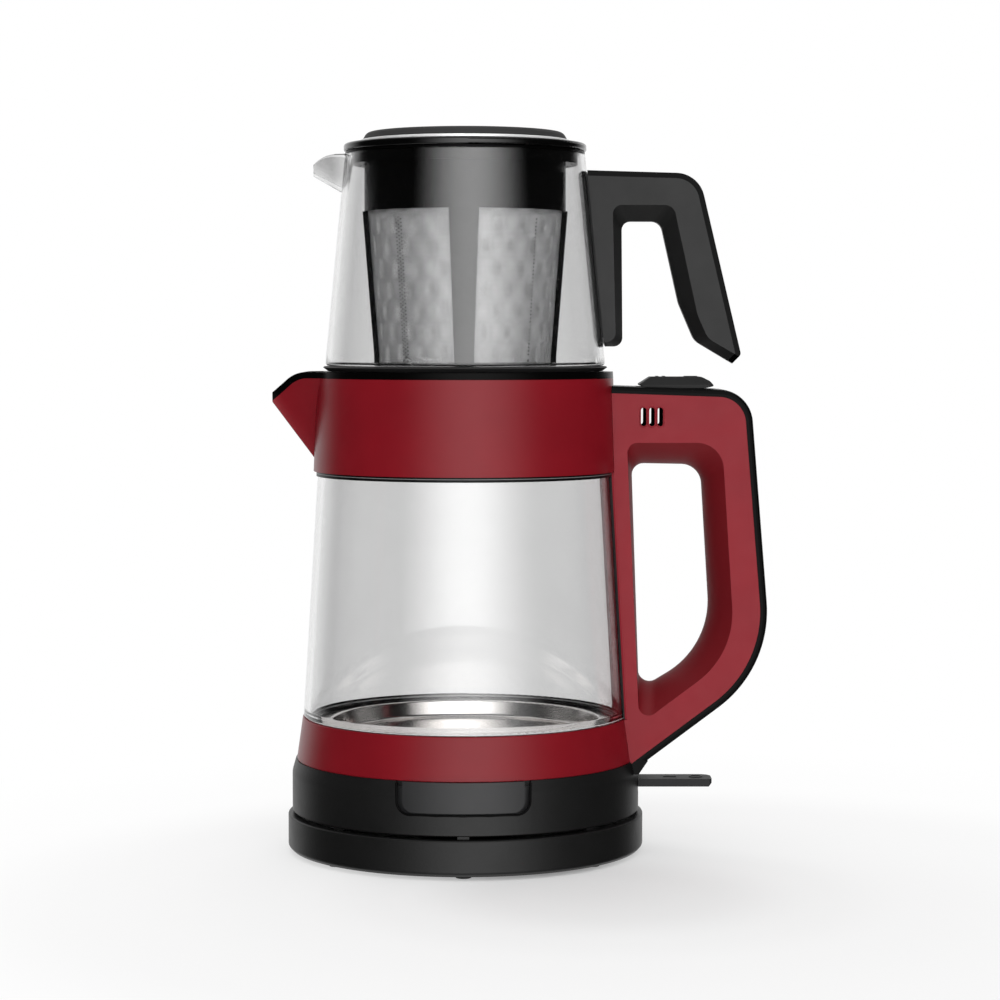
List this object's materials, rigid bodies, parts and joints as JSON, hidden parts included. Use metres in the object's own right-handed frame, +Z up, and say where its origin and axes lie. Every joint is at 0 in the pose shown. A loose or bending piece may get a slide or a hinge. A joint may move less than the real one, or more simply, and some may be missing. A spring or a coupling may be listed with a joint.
{
  "type": "automatic tea maker",
  "caption": "Two-tier electric tea maker: glass kettle with red bands, spout and handle on a cordless base, and a glass teapot with strainer standing on its lid.",
  "frame": {"origin": "on the kettle's axis at floor level, under the feet", "axes": "+Z up, +X towards the handles, -X towards the spouts"},
  "size_m": [0.2213, 0.16, 0.3224],
  "materials": {
    "housing_plastic": "fine textured matte charcoal",
    "black_plastic": "glossy black",
    "satin_black": "satin black",
    "inner_plastic": "plain moulded black",
    "lever_plastic": "satin dark grey",
    "red_metal": "satin deep red lacquer with a fine grain",
    "red_plastic": "satin deep red",
    "clear_glass": "clear borosilicate",
    "smoked_window": "smoked translucent",
    "steel": "polished stainless steel",
    "gauze": "fine woven stainless gauze",
    "polished_ring": "polished",
    "screw_steel": "zinc plated",
    "heater_alloy": "cast",
    "contact_brass": "bare",
    "silicone": "matte dark silicone",
    "foot_rubber": "matte",
    "circuit_board": "lacquered laminate"
  },
  "bodies": {
    "base": {"base_shell": "housing_plastic", "base_plate": "inner_plastic", "base_feet": "foot_rubber", "base_screws": "screw_steel", "cord_gland": "inner_plastic", "base_coupler": "inner_plastic", "coupler_contacts": "contact_brass"},
    "swivel": {"splash_ring": "inner_plastic"},
    "kettle": {"kettle_housing": "housing_plastic", "housing_cover": "inner_plastic", "housing_screws": "screw_steel", "main_switch": "inner_plastic", "indicator_window": "smoked_window", "indicator_board": "circuit_board", "kettle_socket": "inner_plastic", "socket_contacts": "contact_brass", "heating_plate": "steel", "heating_element": "heater_alloy", "thermal_control": "inner_plastic", "lower_seal": "silicone", "lower_band": "red_metal", "kettle_glass": "clear_glass", "upper_gasket": "silicone", "upper_band": "red_metal", "upper_collar": "black_plastic", "spout_filter": "satin_black", "handle_grip": "red_plastic", "handle_spine": "black_plastic", "handle_liner": "satin_black", "handle_screws": "screw_steel", "vent_insert": "inner_plastic", "rocker_switch": "inner_plastic", "rocker_pin": "screw_steel", "lever_pin": "screw_steel"},
    "lever": {"power_lever": "lever_plastic"},
    "rocker": {"rocker_cap": "satin_black"},
    "kettle_cover": {"kettle_lid": "satin_black", "lid_seal": "silicone"},
    "teapot": {"pot_glass": "clear_glass", "pot_handle": "satin_black", "pot_handle_trim": "black_plastic", "pot_handle_pad": "silicone"},
    "strainer": {"strainer_collar": "satin_black", "strainer_frame": "satin_black", "strainer_mesh": "gauze", "strainer_floor": "gauze"},
    "teapot_cover": {"pot_lid": "black_plastic", "pot_lid_ring": "polished_ring", "pot_lid_disc": "satin_black", "pot_lid_seal": "silicone"}
  },
  "joints": [
    {"name": "kettle_turn", "type": "hinge", "parent": "base", "child": "swivel", "pos_m": [0, 0, 0.0208], "axis": [0, 0, 1], "continuous": true},
    {"name": "kettle_lift", "type": "slide", "parent": "swivel", "child": "kettle", "axis": [0, 0, 1], "range_m": [0, 0.06]},
    {"name": "power_lever", "type": "hinge", "parent": "kettle", "child": "lever", "pos_m": [0.062, 0, 0.03055], "axis": [0, 1, 0], "range_deg": [0, 8]},
    {"name": "handle_rocker", "type": "hinge", "parent": "kettle", "child": "rocker", "pos_m": [0.0943, 0, 0.20361], "axis": [0, 1, 0], "range_deg": [-4, 4], "stiffness_Nm_per_rad": 0.05},
    {"name": "kettle_lid_lift", "type": "slide", "parent": "kettle", "child": "kettle_cover", "axis": [0, 0, 1], "range_m": [0, 0.06]},
    {"name": "teapot_lift", "type": "slide", "parent": "kettle_cover", "child": "teapot", "axis": [0, 0, 1], "range_m": [0, 0.08]},
    {"name": "strainer_lift", "type": "slide", "parent": "teapot", "child": "strainer", "axis": [0, 0, 1], "range_m": [0, 0.11]},
    {"name": "teapot_lid_lift", "type": "slide", "parent": "strainer", "child": "teapot_cover", "axis": [0, 0, 1], "range_m": [0, 0.06]}
  ]
}
